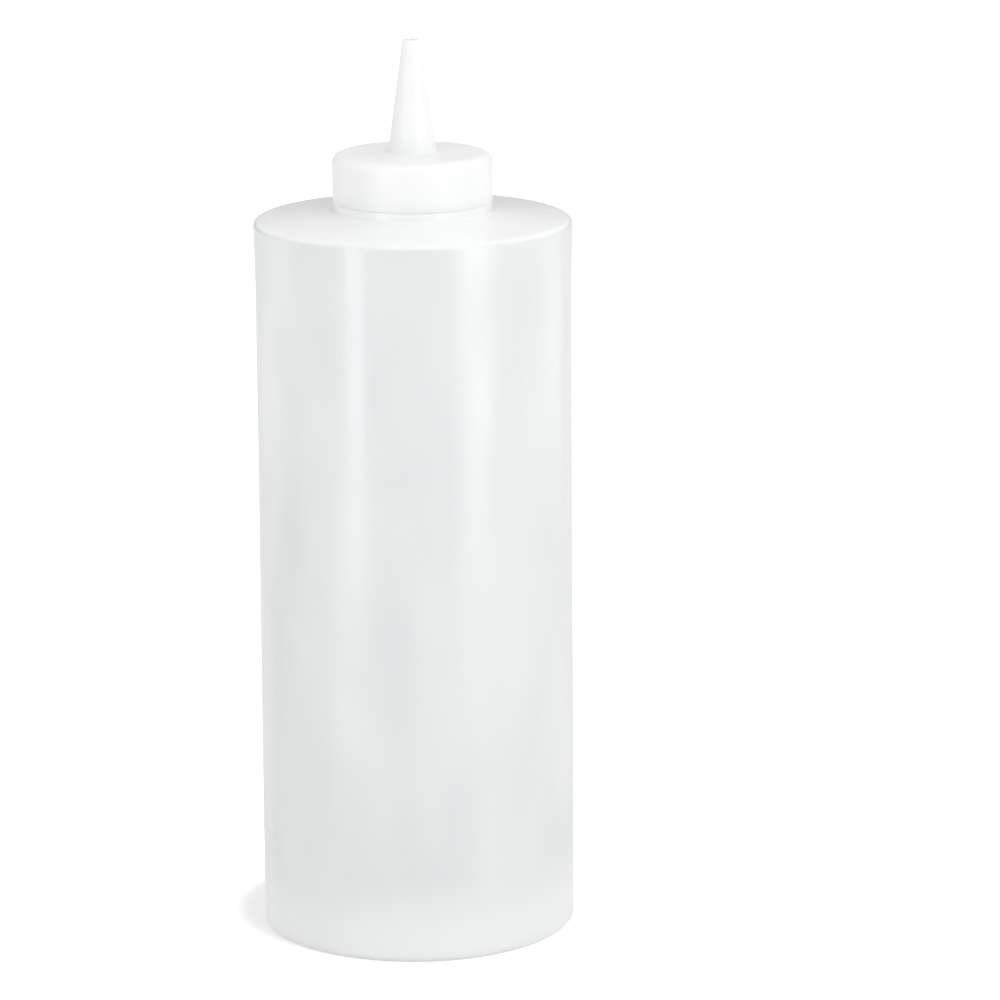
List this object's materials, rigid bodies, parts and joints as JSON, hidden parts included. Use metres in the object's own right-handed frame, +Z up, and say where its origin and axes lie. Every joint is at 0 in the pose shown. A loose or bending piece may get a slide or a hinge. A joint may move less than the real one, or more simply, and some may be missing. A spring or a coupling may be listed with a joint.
{
  "type": "squeeze bottle",
  "caption": "Translucent squeeze bottle with a flat shoulder and a white screw cap that ends in a cone tip, for sauce, oil or dressing.",
  "frame": {"origin": "On the bottle's axis, in the plane of the standing ring", "axes": "+Z up along the axis of bottle and cap, from base to tip. The object is round, so +X and +Y are any two sides; the cap's thread starts are set from +X."},
  "size_m": [0.0766, 0.0766, 0.2176],
  "materials": {
    "bottle": "natural blow-moulded low-density polyethylene, milky and translucent, soft gloss",
    "cap": "white injection-moulded low-density polyethylene, soft satin"
  },
  "bodies": {
    "root": {"bottle": "bottle", "cap": "cap"}
  },
  "joints": []
}
